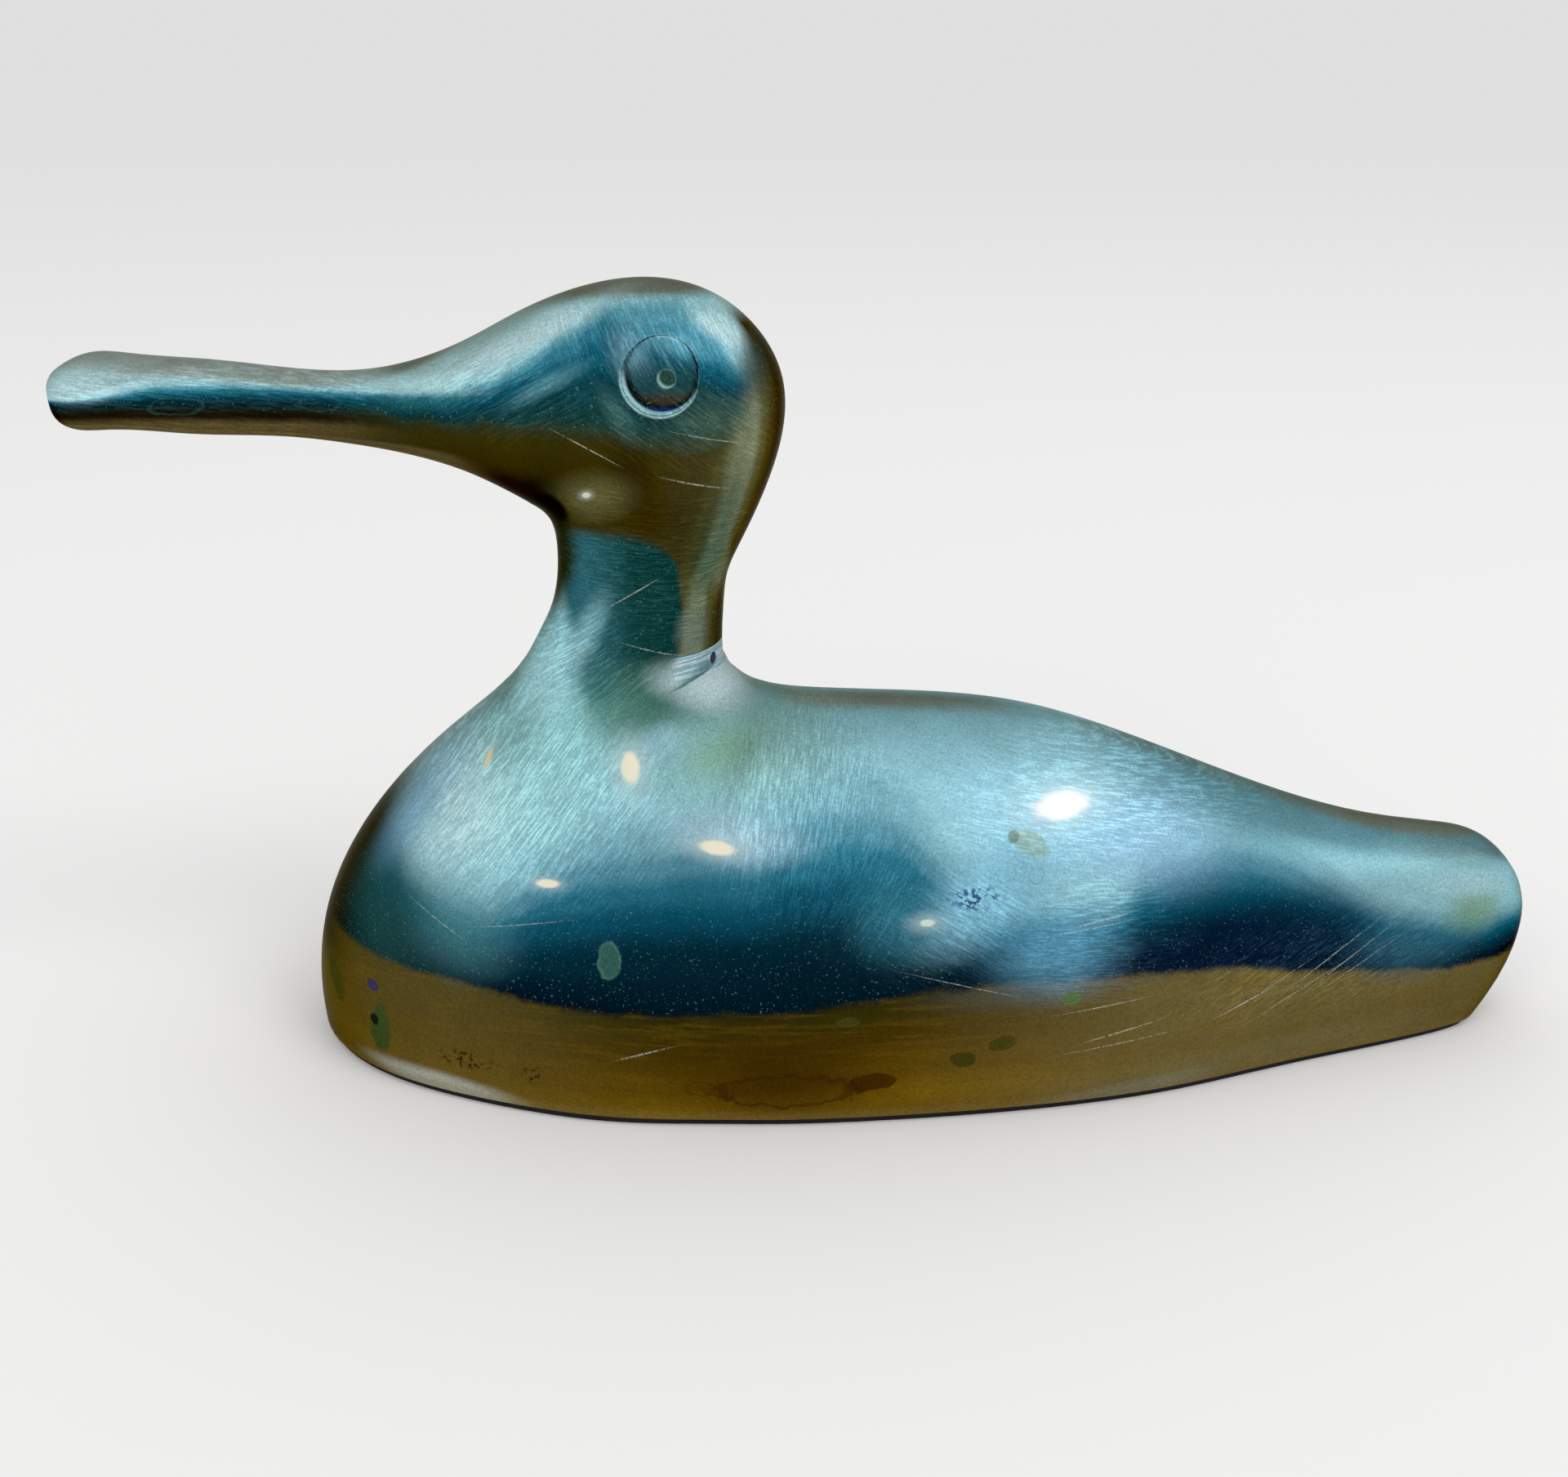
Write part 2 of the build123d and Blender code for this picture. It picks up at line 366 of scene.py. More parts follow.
def body_tones(paint, level, rise):
    """The body's painted reflections, gold along its foot and blue above, and how blue it is."""
    above = paint.math("SUBTRACT", level, paint.curve(paint.x, body_edge))
    share = paint.math("DIVIDE", above, paint.curve(paint.x, body_rise))
    blue = paint.ramp(share, body_blues)
    for x, z, length, height, soft, rgb, strength in blue_shades:
        area = paint.spot((x, z), (length, height), soft=soft)
        blue = paint.mix(area, blue, tone(*rgb), strength=strength)
    ridge = paint.both(paint.step(rise, *ridge_rise), paint.step(paint.x, *ridge_along))
    blue = paint.mix(ridge, blue, tone(84, 136, 148), strength=0.75)

    gold = paint.ramp(paint.math("MULTIPLY", above, -1), body_golds)
    aft = paint.step(paint.x, *aft_gold_along)
    gold = paint.mix(aft, gold, tone(124, 112, 68), strength=0.75)
    fore = paint.step(paint.x, *fore_gold_along)
    gold = paint.mix(fore, gold, tone(108, 96, 50), strength=0.6)
    grey = paint.spot((22, 14.2), (10, 1.4), soft=0.8)
    gold = paint.mix(grey, gold, tone(96, 100, 92), strength=0.5)
    streaks = paint.step(paint.noise(0.5, detail=3.0, stretch=brush_stretch), 0.45, 0.7)
    gold = paint.mix(streaks, gold, tone(120, 92, 20), strength=0.35)
    blueness = paint.step(above, *blue_border)
    return paint.mix(blueness, gold, blue), blueness


def neck_tones(paint, level, depth, bill, colour, blueness):
    """Painted dark reflection on the neck, painted sheen up its front, painted gold on the jaw."""
    dark = paint.math("SUBTRACT", level, paint.curve(paint.x, neck_dark))
    teal = paint.mix(paint.step(paint.x, *fore_neck_along), tone(6, 58, 54), tone(46, 104, 114))
    colour = paint.mix(paint.step(dark, *neck_border), colour, teal)
    jaw = paint.ramp(depth, jaw_golds)
    # Under the bill's border painted shade, turning lower down to a painted brown reflection
    lower_bill = paint.mix(paint.step(depth, *bill_floor), tone(26, 18, 4), tone(92, 78, 46))
    jaw = paint.mix(bill, jaw, lower_bill)
    jaw = paint.mix(paint.step(paint.x, *nape_gold_along), jaw, tone(66, 61, 29), strength=0.8)
    over = paint.math("SUBTRACT", level, paint.curve(paint.x, neck_top))
    colour = paint.mix(paint.step(over, *jaw_border), colour, jaw)
    beneath = paint.step(over, *reversed(jaw_border))
    return colour, paint.math("MINIMUM", blueness, beneath)


def head_tones(paint, lift, rise, bill, colour, blueness):
    """Painted blue reflection on head and bill, painted shade on the bill, and tones under them."""
    crown = paint.ramp(paint.math("DIVIDE", lift, paint.curve(paint.x, head_rise)), head_blues)
    shadow = paint.both(bill, paint.step(lift, *bill_shadow))
    crown = paint.mix(shadow, crown, tone(2, 26, 36), strength=0.7)
    upper = paint.both(paint.step(lift, *crown_border), paint.step(paint.z, *head_level))
    colour = paint.mix(upper, colour, crown)
    below = paint.both(paint.step(rise, *under_rise), paint.step(paint.z, *throat_level))
    # Under the bill a painted brown reflection, under the throat painted shade
    under = paint.mix(paint.step(paint.x, *throat_along), tone(112, 102, 70), tone(34, 20, 6))
    return paint.mix(below, colour, under), paint.math("MAXIMUM", blueness, upper)


def turned_tones(paint, rise, turn, bill, colour):
    """Painted olive reflection where the surface turns up: on top, on the breast and on the nape.
    """
    crest = paint.mix(bill, tone(128, 138, 126), tone(172, 190, 186))
    body_start = paint.step(paint.z, 50, 60, 90, 64)
    start = paint.math("MINIMUM", paint.curve(paint.x, crest_start), body_start)
    crest_share = paint.step(paint.math("SUBTRACT", rise, start), *crest_border)
    colour = paint.mix(crest_share, colour, crest)

    fore = paint.both(paint.step(turn, *breast_turn), paint.step(rise, *breast_rise))
    neck_foot = paint.spot((-31, 46), (6, 5))
    spared = paint.math("MULTIPLY_ADD", neck_foot, -0.85, 1.0)
    fore = paint.both(fore, paint.both(spared, paint.step(paint.z, *breast_level)))
    breast = paint.step(paint.z, *breast_gold_level)
    breast = paint.mix(breast, tone(58, 56, 40), tone(118, 104, 52))
    colour = paint.mix(fore, colour, breast)

    past = paint.math("SUBTRACT", turn, paint.curve(paint.z, nape_start))
    past = paint.math("DIVIDE", past, paint.step(paint.z, 58, 70, 1.0, 3.0))
    aft = paint.both(paint.step(past, *nape_border), paint.step(paint.z, *joint_level))
    aft = paint.both(aft, paint.step(rise, *nape_rise))
    return paint.mix(aft, colour, paint.ramp(turn, nape_olives))


def painted_reflection_tones(paint, rise, turn):
    """Painted reflections on the polished brass: golden low, blue and green above, olive on top and
    aft.

    Gives the colour, and a mask of the blue places.
    """
    waves = paint.wander(paint.noise(4.0, detail=2.0), border_waves)
    fringe = paint.wander(paint.noise(0.35, detail=2.0, roughness=0.7), border_fringe)
    bill = paint.step(paint.x, *bill_along)
    calm = paint.math("MULTIPLY_ADD", bill, -bill_calm, 1.0)
    uneven = paint.math("MULTIPLY", paint.math("ADD", waves, fringe), calm)
    level = paint.math("ADD", paint.z, uneven)
    depth = paint.math("SUBTRACT", paint.curve(paint.x, head_edge), level)
    lift = paint.math("MULTIPLY", depth, -1)
    colour, blueness = body_tones(paint, level, rise)
    colour, blueness = neck_tones(paint, level, depth, bill, colour, blueness)
    colour, blueness = head_tones(paint, lift, rise, bill, colour, blueness)
    return turned_tones(paint, rise, turn, bill, colour), blueness


# Painted highlights, reflections and shade in soft patches on the sides: x, z, half length,
# half height, lean, softness, colour, strength
painted_light_patches = (
    (16, 25.0, 7.6, 3.6, 32, 0.7, (144, 208, 232), 0.9),
    (22.8, 18.6, 5.6, 3.6, 0, 0.9, (98, 160, 190), 0.8),
    (-34, 39, 8, 7, 0, 0.9, (152, 206, 204), 0.6),
    (-12, 37.5, 9, 3.6, 0, 0.9, (130, 172, 158), 0.75),
    (-23, 42.6, 5, 3.2, 10, 0.8, (88, 142, 124), 0.7),
    (-19.6, 38.6, 2.3, 1.7, 0, 0.5, (150, 192, 206), 0.6),
    (-42, 31.5, 6, 4.5, 40, 0.9, (192, 230, 234), 0.8),
    (-40.5, 20.5, 4.5, 4.0, 0, 0.9, (84, 142, 148), 0.6),
    (-46.5, 30.5, 6, 1.6, 52, 0.9, (124, 174, 206), 0.6),
    (-12, 30.6, 6, 1.8, -8, 0.9, (176, 214, 230), 0.8),
    (24, 31, 11, 4.4, -12, 0.9, (160, 212, 234), 0.75),
    (33, 27.5, 8, 3.4, -14, 0.9, (156, 200, 232), 0.6),
    (66, 19.5, 6, 2.4, -10, 0.9, (156, 204, 212), 0.7),
    (73, 15.8, 3.2, 2.4, 0, 0.7, (128, 164, 124), 0.7),
    (-21.8, 67.5, 2.4, 3.2, 0, 0.6, (40, 30, 4), 0.6),
    (-26.0, 65.0, 3.4, 2.0, 10, 0.9, (120, 118, 72), 0.7),
    (-32.6, 64.0, 3.4, 1.6, -34, 0.6, (44, 26, 6), 0.9),
    (-30.6, 62.9, 2.1, 1.7, -52, 0.28, (5, 4, 2), 0.98),
    (-21.4, 79.6, 1.5, 2.2, 20, 0.9, (136, 186, 202), 0.5),
    (-30.9, 57.8, 2.7, 4.2, -10, 0.35, (42, 48, 28), 0.92),
    (-43, 74.3, 5, 0.8, 4, 0.8, (36, 104, 104), 0.5),
    (-14.4, 43.6, 5.0, 2.1, -18, 0.7, (212, 238, 242), 0.9),
    (-31.2, 80.8, 7, 0.9, 24, 0.9, (210, 242, 246), 0.8),
    (-13.0, 81.5, 2.6, 0.8, -34, 0.8, (206, 240, 244), 0.8),
    (-28.4, 47.8, 5, 1.2, 62, 0.9, (156, 210, 220), 0.75),
    (-77.5, 75.9, 3.4, 1.2, 0, 0.9, (200, 236, 242), 0.7),
    (-45, 75.7, 6, 0.6, 0, 0.9, (192, 234, 236), 0.7),
    (-29.6, 76.6, 3.4, 0.7, 28, 0.9, (116, 182, 196), 0.45),
    (-22.6, 73.8, 2.4, 0.9, -60, 0.9, (96, 140, 136), 0.3),
    (-12.4, 37.4, 3, 1.6, 10, 0.8, (112, 150, 98), 0.35),
    (-44, 1.6, 8, 1.3, -4, 0.5, (198, 204, 190), 0.85),
    (48, 2.8, 20, 1.5, 0, 0.8, (130, 120, 78), 0.7),
    (32, 1.4, 9, 1.0, 3, 0.6, (140, 144, 122), 0.6),
    (-6, 5.6, 9, 4.2, 0, 0.9, (64, 42, 2), 0.75),
    (5.5, 23, 3.6, 3.6, 0, 0.9, (58, 132, 152), 0.6),
    (66, 12.8, 6, 3, 0, 0.9, (52, 100, 120), 0.65),
    (73, 18.9, 4.4, 1.2, -5, 0.8, (180, 224, 230), 0.8),
    (72, 21.8, 6, 1.0, -6, 0.8, (114, 142, 142), 0.6),
    (-13, 72.9, 3.2, 1.9, 0, 0.9, (74, 100, 86), 0.75),
    (-17, 80.4, 3.4, 1.0, -15, 0.9, (112, 178, 196), 0.55),
    (-13.2, 57.6, 0.9, 3.6, -4, 0.7, (142, 152, 124), 0.8),
    (-13.3, 49.4, 0.9, 2.0, 0, 0.6, (62, 58, 32), 0.8),
    (-16.2, 49.6, 1.3, 2.2, 0, 0.7, (120, 134, 118), 0.7),
    (-33, 43.8, 3.2, 2.0, 60, 0.9, (178, 228, 236), 0.7),
    (-26.6, 45.0, 2.0, 2.4, 60, 0.8, (46, 102, 102), 0.7),
    (-9.4, 77.6, 1.5, 2.6, 8, 0.7, (64, 80, 76), 0.75),
)

# Spots of tarnish: x, z, half length, half height, lean, colour, strength
spots = (
    (-51.2, 6.6, 1.2, 3.2, -6, (66, 88, 46), 0.9),
    (-51.9, 7.4, 0.5, 0.7, 0, (20, 34, 32), 0.9),
    (-51.8, 11.5, 0.7, 0.7, 0, (62, 56, 108), 0.85),
    (-57.3, 9.5, 1.0, 2.4, 20, (66, 78, 36), 0.6),
    (-24.7, 18.3, 1.2, 1.9, -12, (66, 116, 104), 0.75),
    (20.0, 28.8, 2.3, 1.0, -24, (152, 180, 156), 0.6),
    (18.2, 29.6, 0.6, 0.6, 0, (92, 116, 88), 0.6),
    (12.9, 7.3, 1.4, 0.9, 0, (60, 62, 18), 0.8),
    (17.1, 8.9, 1.6, 0.8, 10, (62, 66, 20), 0.7),
    (3.1, 5.2, 2.7, 1.0, 6, (66, 38, 4), 0.85),
    (-12.5, 4.6, 2.4, 1.0, 0, (84, 52, 6), 0.5),
    (0.5, 12.2, 1.2, 0.5, 0, (74, 84, 36), 0.5),
    (24.5, 13.2, 1.1, 0.7, 0, (86, 124, 60), 0.7),
)

# Rings that dried drops have left: x, z, half length, half height, colour, strength
rings = (
    (-5.8, 4.4, 7.5, 1.9, (62, 36, 4), 0.75),
    (-15.2, 4.7, 1.6, 0.9, (70, 42, 4), 0.7),
    (-24.7, 18.3, 1.25, 2.0, (104, 150, 132), 0.5),
    (-67.7, 73.8, 2.6, 0.9, (60, 110, 110), 0.3),
    (-53.5, 73.9, 2.3, 0.8, (60, 110, 110), 0.3),
    (-15.6, 73.1, 3.7, 3.1, (58, 84, 68), 0.5),
    (20.6, 26.0, 0.9, 0.8, (112, 160, 200), 0.5),
    (3.5, 33.5, 1.8, 1.2, (116, 176, 184), 0.4),
)

# Groups of small specks: x, z, half length, half height of the group, grain, colour
speck_groups = (
    (-41, 5.4, 2.8, 1.0, 0.55, (66, 34, 8)),
    (-33.3, 4.9, 1.1, 1.0, 0.5, (66, 34, 8)),
    (14, 24.2, 2.6, 1.1, 0.5, (60, 92, 140)),
)

# Glints: x, z, half length, half height, lean, colour, and the size of the glow around them
glints = (
    (23.7, 31.8, 3.0, 1.2, 0, (255, 255, 252), 1.7),
    (-22.6, 36.8, 0.95, 1.45, 12, (255, 248, 222), 1.9),
    (-13.3, 29.4, 1.9, 0.6, -6, (255, 248, 224), 1.8),
    (-31.2, 25.9, 1.2, 0.42, 0, (255, 248, 226), 1.5),
    (-38.1, 36.7, 0.25, 0.9, -22, (240, 224, 176), 1.4),
    (8.8, 22.1, 0.8, 0.35, 0, (226, 244, 228), 2.4),
    (-26.4, 65.2, 0.45, 0.3, 20, (226, 224, 200), 1.6),
)

# Scratches: the two ends in x and z, and half the width
scratches = (
    (42, 8.6, 47.5, 10.4, 0.08), (50, 9.8, 60, 15.6, 0.05), (53, 9.6, 62, 15.0, 0.05),
    (55, 9.4, 63, 13.6, 0.04), (47, 7.6, 56, 11.6, 0.04), (46, 9.9, 52, 12.6, 0.04),
    (27, 8.2, 34, 9.4, 0.07), (25, 7.0, 36, 7.9, 0.04), (24, 11.6, 32, 12.2, 0.05),
    (25, 20.6, 30.5, 21.3, 0.09), (22.5, 20.0, 31, 20.6, 0.04), (8, 16.8, 17, 14.4, 0.04),
    (-23.5, 7.8, -18.8, 9.3, 0.08), (-24.2, 53.2, -20.2, 55.6, 0.07),
    (-17.6, 67.2, -12.6, 65.9, 0.07), (-38, 21.0, -30, 22.2, 0.04),
    (-46, 22.0, -41, 19.6, 0.04), (-28.4, 71.8, -23.4, 69.0, 0.06),
    (-22.8, 48.9, -18.0, 47.4, 0.05), (-15.4, 43.8, -11.4, 43.2, 0.14),
    (-30, 46.6, -26.6, 48.6, 0.05), (-16.5, 71.9, -9.6, 70.2, 0.04),
)

# Brush marks: how far they lean, and the middle and half sizes of the area that has them
brushed_areas = (
    (52, (-33, 33), (14, 10)), (78, (-4, 31), (9, 8)), (58, (3, 25), (6, 6)),
    (-30, (12, 21), (9, 5)), (-4, (27, 19), (9, 6)), (-12, (32, 32), (18, 5)),
    (-38, (-17, 72), (9, 6)), (28, (-33, 75), (8, 4)), (-62, (-20, 80), (9, 4)),
    (34, (-27, 47), (7, 6)), (-2, (-18, 58), (11, 9)), (24, (54, 12), (16, 5)),
    (-6, (-64, 74), (16, 3)),
)


def tarnish_and_painted_light(paint, colour):
    """Patches of painted light and shade, and spots, rings and specks of tarnish over the metal."""
    for x, z, length, height, lean, soft, rgb, strength in painted_light_patches:
        mask = paint.spot((x, z), (length, height), soft=soft, lean=lean)
        colour = paint.mix(mask, colour, tone(*rgb), strength=strength)
    for x, z, length, height, lean, rgb, strength in spots:
        mask = paint.spot((x, z), (length, height), soft=0.12, lean=lean, wobble=0.7)
        colour = paint.mix(mask, colour, tone(*rgb), strength=strength)
    hollow = 0.86
    for x, z, length, height, rgb, strength in rings:
        outer = paint.spot((x, z), (length, height), soft=0.1, wobble=0.9)
        inner = paint.spot((x, z), (length * hollow, height * hollow), soft=0.14, wobble=0.9)
        mask = paint.math("SUBTRACT", outer, inner, clamp=True)
        colour = paint.mix(mask, colour, tone(*rgb), strength=strength)
    for x, z, length, height, grain, rgb in speck_groups:
        area = paint.spot((x, z), (length, height))
        dots = paint.step(paint.noise(grain, detail=1.0), 0.52, 0.6)
        colour = paint.mix(paint.both(area, dots), colour, tone(*rgb))
    return colour


def shine(paint, colour):
    """Small bright glints with a glow around them."""
    for x, z, length, height, lean, rgb, glow in glints:
        halo = paint.spot((x, z), (length * glow, height * glow), soft=0.9, lean=lean)
        colour = paint.mix(halo, colour, tone(220, 240, 240), strength=0.35)
        core = paint.spot((x, z), (length, height), soft=0.3, lean=lean, wobble=0.5)
        colour = paint.mix(core, colour, tone(*rgb), strength=0.95)
    return colour


def scratch_mask(paint):
    """Long thin scratches, each a line between two ends."""
    total = 0.0
    for x0, z0, x1, z1, width in scratches:
        middle = ((x0 + x1) / 2, (z0 + z1) / 2)
        half = math.hypot(x1 - x0, z1 - z0) / 2
        lean = math.degrees(math.atan2(z1 - z0, x1 - x0))
        line = paint.spot(middle, (half, width), soft=0.8, lean=lean)
        total = paint.math("MAXIMUM", total, line)
    return total


def brush_mask(paint):
    """Fine brush marks, whose direction changes from area to area."""
    total = 0.0
    for lean, middle, size in brushed_areas:
        lines = paint.brush_lines(lean)
        area = paint.spot(middle, size, soft=0.6)
        marks = paint.both(paint.step(lines, 0.42, 0.68), area)
        total = paint.math("MAXIMUM", total, marks)
    return total


# Each eye, in millimetres: its pocket's middle and radius, its pupil's, how much higher its low
# side reaches per millimetre towards the bill, and the lean of its brush marks
eye_middle = (-18.45, 77.41)
eye_radius = 3.8
pupil_middle = (-17.84, 77.1)
pupil_radius = 0.95
low_slope = 0.3
eye_lean = -52.0

# The painted highlight on the lip and the painted shade in the groove inside it lie between
# circles that are shifted up and aft
lip_reach = 0.12
lip_shift, lip_inner = (0.2, 0.18), 3.68
groove_shift, groove_inner = (0.5, 0.6), 3.38
pupil_shift = (0.22, 0.26)
bright_rim = 0.25


def eye_tones(paint, colour, square):
    """Ball, painted shade in the groove under its front, painted highlight on the lip, and pupil.
    """
    middle_level = low_slope * eye_middle[0] + eye_middle[1]
    tilted = paint.math("MULTIPLY_ADD", paint.x, low_slope, paint.z)
    low = paint.step(tilted, middle_level + 0.2, middle_level - 1.6)
    flat = colour
    lip = paint.both(paint.disc(eye_middle, eye_radius + lip_reach, 0.05), low)
    colour = paint.mix(lip, colour, tone(190, 228, 236), strength=0.9)

    # The ball has the head's painted reflections at its top, and a painted brown reflection and
    # brush marks lower down
    ball = paint.mix(paint.step(paint.z, 79.4, 77.6), flat, tone(30, 70, 72), strength=0.6)
    ball = paint.mix(paint.step(paint.z, 76.2, 75.2), ball, tone(62, 52, 22), strength=0.85)
    brush = paint.brush_lines(eye_lean)
    streaks = paint.both(paint.step(brush, 0.5, 0.7), paint.step(paint.z, 76.6, 79.5))
    ball = paint.mix(streaks, ball, tone(120, 176, 194), strength=0.35)

    # The groove's painted shade is blue at the bottom, between the lip and the ball
    bottom = paint.both(paint.step(paint.x, -21.2, -20.2), paint.step(paint.x, -15.8, -17))
    bottom = paint.both(bottom, paint.step(paint.z, 74.5, 74.25))
    groove = paint.mix(bottom, tone(8, 10, 8), tone(6, 34, 104))
    core = paint.disc(eye_middle, groove_inner, 0.08, groove_shift)
    ball = paint.mix(paint.both(low, paint.outside(core)), ball, groove)
    inside = paint.disc(eye_middle, lip_inner, 0.05, lip_shift)
    ball = paint.mix(paint.both(low, paint.outside(inside)), ball, tone(196, 232, 238))

    # The pupil: a painted highlight on its ring, and painted shade in its pit
    pupil = paint.disc(pupil_middle, pupil_radius, 0.12)
    pit = paint.disc(pupil_middle, pupil_radius, 0.2, pupil_shift)
    ball = paint.mix(pupil, ball, tone(160, 208, 196), strength=0.75)
    ball = paint.mix(paint.both(pit, pupil), ball, tone(16, 54, 36), strength=0.95)

    # A painted highlight round the ball's upper edge, broken by brush marks
    rim = paint.outside(paint.disc(eye_middle, eye_radius - bright_rim, 0.05))
    rim = paint.both(paint.math("SUBTRACT", rim, low, clamp=True), paint.step(brush, 0.35, 0.6))
    ball = paint.mix(rim, ball, tone(170, 214, 224), strength=0.7)
    # On the pocket's wall, which faces away from the sides, a painted highlight on its low side
    wall = paint.mix(low, flat, tone(206, 240, 244))
    ball = paint.mix(paint.step(square, 0.5, 0.3), ball, wall)
    return paint.mix(paint.disc(eye_middle, eye_radius + 0.03, 0.004), colour, ball)


def filed_tones(paint, colour):
    """A painted bluish-white highlight with file marks, behind the neck."""
    file_marks = paint.noise(0.22, detail=2.0, stretch=24.0, lean=2.0)
    file_marks = paint.step(file_marks, 0.4, 0.6)
    filed_highlight = paint.mix(file_marks, tone(146, 196, 210), tone(232, 246, 250))
    return paint.mix(paint.step(paint.x, -18.6, -17.2), colour, filed_highlight, strength=0.9)


# What the brass mirrors where it is seen at a very flat angle
edge_tint = (0.4, 0.38, 0.32, 1)

# How clouds, specks and brush marks change the brass: a share of each, and what it adds to
cloud_shade = (0.44, 0.76)
speck_shade = (1.1, 0.47)
mark_shade = (0.62, 0.86)
cloud_rough = (0.2, 0.22)
speck_rough = 0.1
mark_depth = -0.4


def brass(name, filed=False):
    """Old polished brass in painted reflections. The joint's is filed, with a painted highlight
    aft.
    """
    paint = Paint(name)
    rise, turn, square = facing(paint)
    colour, blueness = painted_reflection_tones(paint, rise, turn)
    colour = tarnish_and_painted_light(paint, colour)
    if filed:
        colour = filed_tones(paint, colour)
    else:
        colour = eye_tones(paint, colour, square)
        # A painted highlight along the lower rim
        rim = paint.step(paint.z, *rim_level)
        colour = paint.mix(rim, colour, tone(150, 126, 76), strength=0.35)

    # Cloudy and speckled polish, brush marks and scratches
    cloud = paint.noise(7.0, detail=5.0, roughness=0.65)
    speck = paint.noise(0.28, detail=2.0, roughness=0.75)
    marks = brush_mask(paint)
    shade = paint.math("MULTIPLY", paint.math("MULTIPLY_ADD", cloud, *cloud_shade),
                       paint.math("MULTIPLY_ADD", speck, *speck_shade))
    shade = paint.math("MULTIPLY", shade, paint.math("MULTIPLY_ADD", marks, *mark_shade))
    colour = paint.mix(1.0, colour, paint.join(shade, shade, shade), blend="MULTIPLY")
    blue_marks = paint.both(marks, blueness)
    colour = paint.mix(blue_marks, colour, tone(150, 214, 228), strength=0.04)
    dots = paint.step(paint.noise(0.22, detail=0.0), 0.72, 0.8)
    dots = paint.both(dots, blueness)
    colour = paint.mix(dots, colour, tone(150, 200, 204), strength=0.2)
    lines = paint.both(scratch_mask(paint), paint.step(speck, 0.3, 0.6))
    colour = paint.mix(lines, colour, tone(220, 222, 204), strength=0.6)
    if not filed:
        colour = shine(paint, colour)
    paint.plug(paint.shader.inputs["Base Color"], colour)

    paint.shader.inputs["Metallic"].default_value = 1.0
    paint.shader.inputs["Specular Tint"].default_value = edge_tint
    rough = paint.math("MULTIPLY_ADD", cloud, *cloud_rough)
    rough = paint.math("MULTIPLY_ADD", speck, speck_rough, rough)
    paint.plug(paint.shader.inputs["Roughness"], rough)
    relief = paint.math("MULTIPLY_ADD", marks, mark_depth, speck)
    paint.emboss(paint.math("SUBTRACT", relief, lines), strength=0.25, distance=0.06)
    return paint.material


def plain(name, colour, metallic, roughness, grain):
    """A mottled material for the pin, the board and the felt."""
    paint = Paint(name)
    mottle = paint.noise(grain, detail=4.0)
    shade = paint.math("MULTIPLY_ADD", mottle, 0.8, 0.6)
    colour = paint.mix(1.0, colour, paint.join(shade, shade, shade), blend="MULTIPLY")
    paint.plug(paint.shader.inputs["Base Color"], colour)
    paint.shader.inputs["Metallic"].default_value = metallic
    paint.shader.inputs["Roughness"].default_value = roughness
    paint.emboss(mottle, strength=0.3, distance=0.2)
    return paint.material


def dress(node, material):
    """Gives a CAD node its material."""
    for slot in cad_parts[node].material_slots:
        slot.material = material


# The floor lies just under the felt, so that the two faces don't mix
floor_tone = (0.80, 0.79, 0.775)
sky_tone = (0.93, 0.94, 0.96)
floor_level = -0.02 * MM
floor_reach = 20.0


def floor():
    """A plain floor, clear when seen from below so that it doesn't hide the duck's underside."""
    material = bpy.data.materials.new("floor")
    material.use_nodes = True
    tree = material.node_tree
    shader = tree.nodes["Principled BSDF"]
    clear = tree.nodes.new("ShaderNodeBsdfTransparent")
    side = tree.nodes.new("ShaderNodeNewGeometry")
    mix = tree.nodes.new("ShaderNodeMixShader")
    tree.links.new(side.outputs["Backfacing"], mix.inputs[0])
    tree.links.new(shader.outputs[0], mix.inputs[1])
    tree.links.new(clear.outputs[0], mix.inputs[2])
    tree.links.new(mix.outputs[0], tree.nodes["Material Output"].inputs["Surface"])
    shader.inputs["Base Color"].default_value = (*floor_tone, 1)
    shader.inputs["Roughness"].default_value = 1.0
    shader.inputs["Specular IOR Level"].default_value = 0.0
    mesh = bpy.data.meshes.new("floor")
    signs = ((-1, -1), (1, -1), (1, 1), (-1, 1))
    corners = [(a * floor_reach, b * floor_reach, floor_level) for a, b in signs]
    mesh.from_pydata(corners, [], [(0, 1, 2, 3)])
    mesh.materials.append(material)
    piece = bpy.data.objects.new("floor", mesh)
    bpy.context.scene.collection.objects.link(piece)


key_place = (0.62, -0.42, 0.95)
fill_place = (-0.55, -0.75, 0.75)
lamp_target = (0, 0, 0.03)


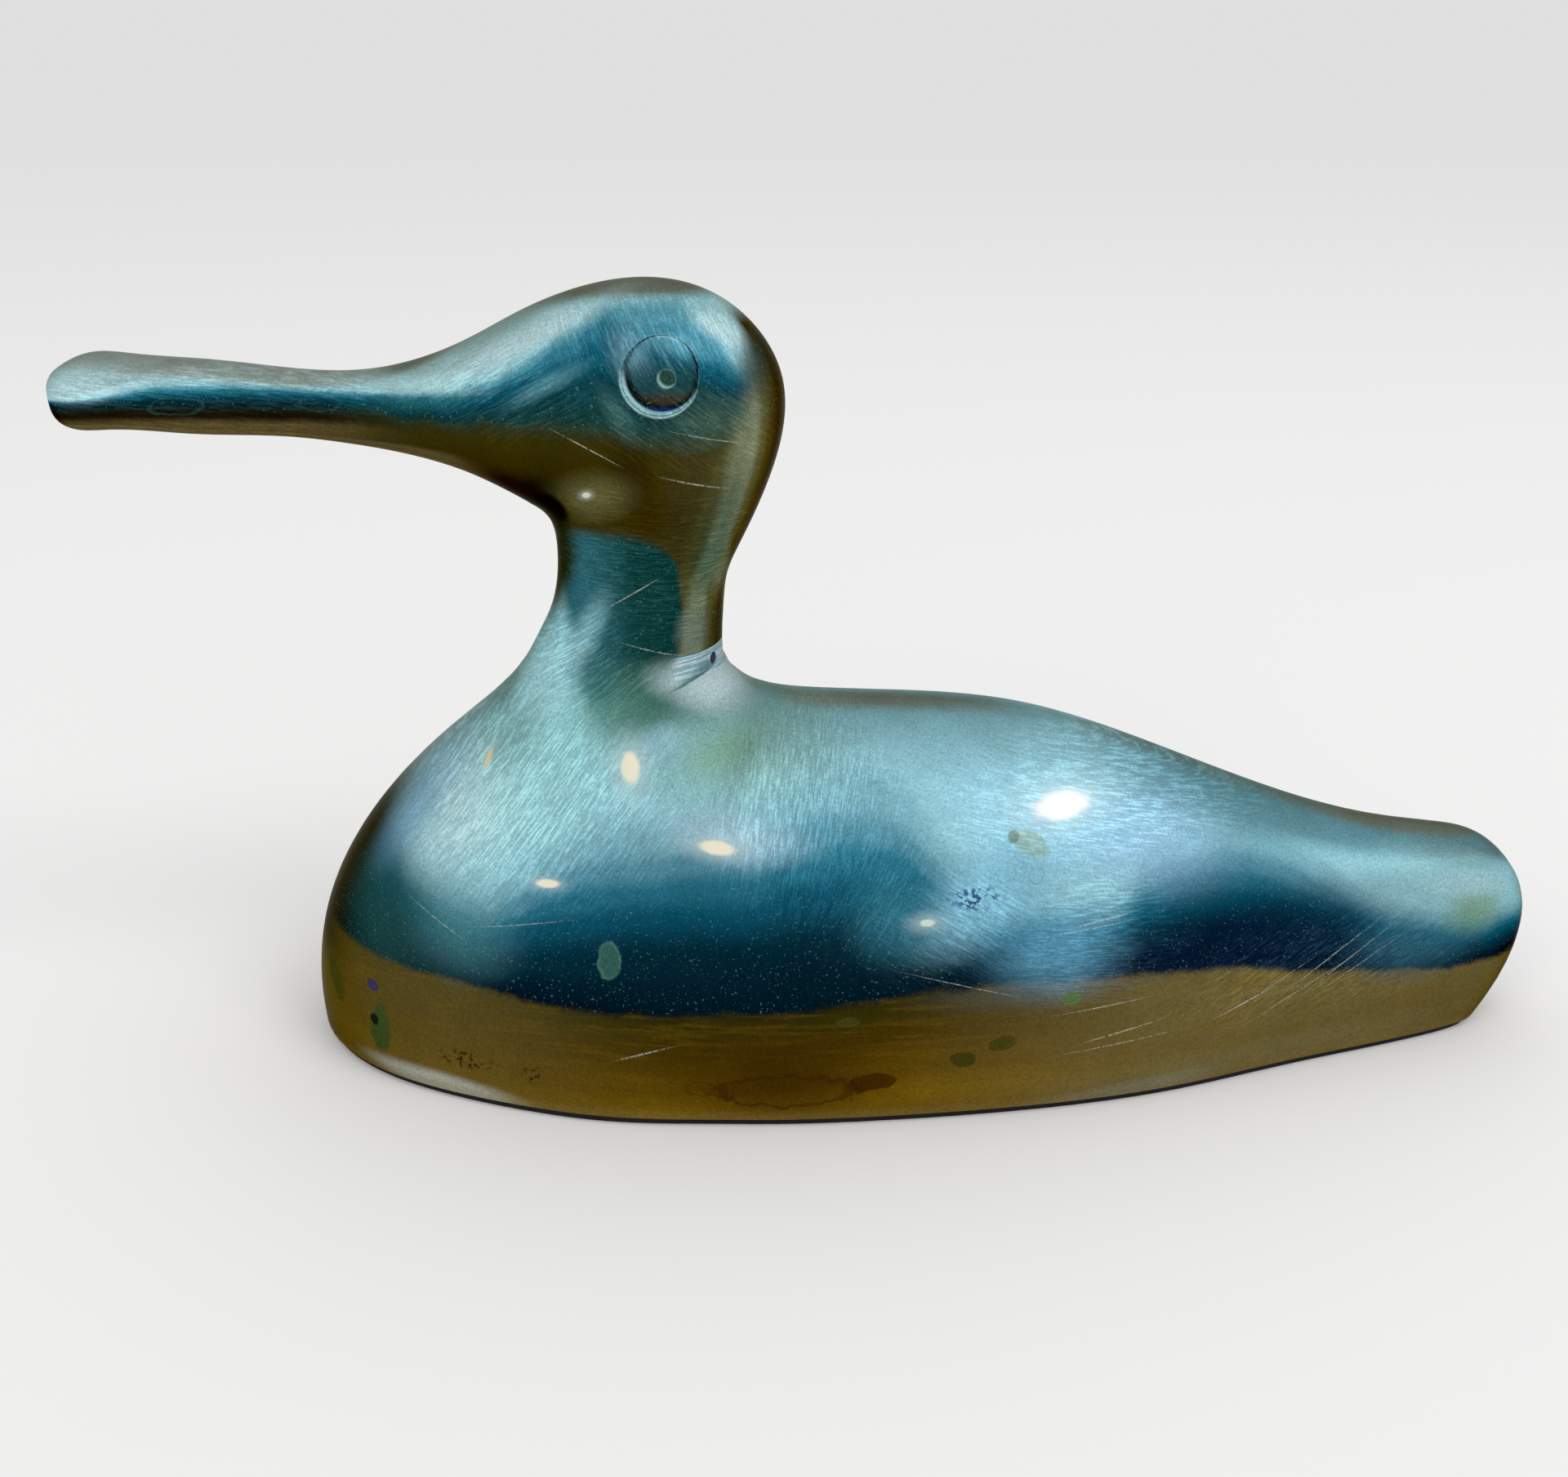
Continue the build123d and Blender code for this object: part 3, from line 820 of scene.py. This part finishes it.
def lamp(name, place, size, power, colour=(1, 1, 1), on_metal=False):
    """A soft round lamp that lights the matt things, or one that only the metal mirrors."""
    data = bpy.data.lights.new(name, "AREA")
    data.shape = "DISK"
    data.size = size
    data.energy = power
    data.color = colour
    piece = bpy.data.objects.new(name, data)
    piece.location = place
    toward = Vector(lamp_target) - Vector(place)
    piece.rotation_euler = toward.to_track_quat("-Z", "Y").to_euler()
    piece.visible_glossy = on_metal
    piece.visible_diffuse = not on_metal
    bpy.context.scene.collection.objects.link(piece)


def light():
    """Soft lamps and an even sky, seen by the camera and the metal in the tone of the far floor."""
    lamp("key", key_place, 0.5, 2.6)
    lamp("fill", fill_place, 0.5, 1.4, (1.0, 0.95, 0.88))
    lamp("key_sheen", key_place, 0.7, 1.6, on_metal=True)
    lamp("fill_sheen", fill_place, 0.6, 0.6, (1.0, 0.92, 0.8), on_metal=True)
    world = bpy.data.worlds.new("world")
    world.use_nodes = True
    tree = world.node_tree
    sky = tree.nodes["Background"]
    sky.inputs["Color"].default_value = (*sky_tone, 1)
    seen = tree.nodes.new("ShaderNodeBackground")
    seen.inputs["Color"].default_value = (*[a * b for a, b in zip(floor_tone, sky_tone)], 1)
    path = tree.nodes.new("ShaderNodeLightPath")
    total = path.outputs["Is Camera Ray"]
    for kind in ("Is Glossy Ray", "Is Transmission Ray"):
        either = tree.nodes.new("ShaderNodeMath")
        either.operation = "MAXIMUM"
        tree.links.new(total, either.inputs[0])
        tree.links.new(path.outputs[kind], either.inputs[1])
        total = either.outputs[0]
    mix = tree.nodes.new("ShaderNodeMixShader")
    tree.links.new(total, mix.inputs[0])
    tree.links.new(sky.outputs[0], mix.inputs[1])
    tree.links.new(seen.outputs[0], mix.inputs[2])
    tree.links.new(mix.outputs[0], tree.nodes["World Output"].inputs["Surface"])
    bpy.context.scene.world = world
    bpy.context.scene.view_settings.view_transform = "Standard"


set_camera()
floor()
light()
brass_paint = brass("cast_brass")
dress("body_casting", brass_paint)
dress("head_casting", brass_paint)
dress("neck_braze", brass("braze", filed=True))
dress("neck_pin", plain("pin_brass", tone(20, 24, 66), 0.5, 0.6, 0.3))
dress("base_board", plain("board", tone(120, 92, 62), 0.0, 0.8, 1.5))
dress("felt_pad", plain("felt", tone(14, 14, 16), 0.0, 0.95, 0.4))
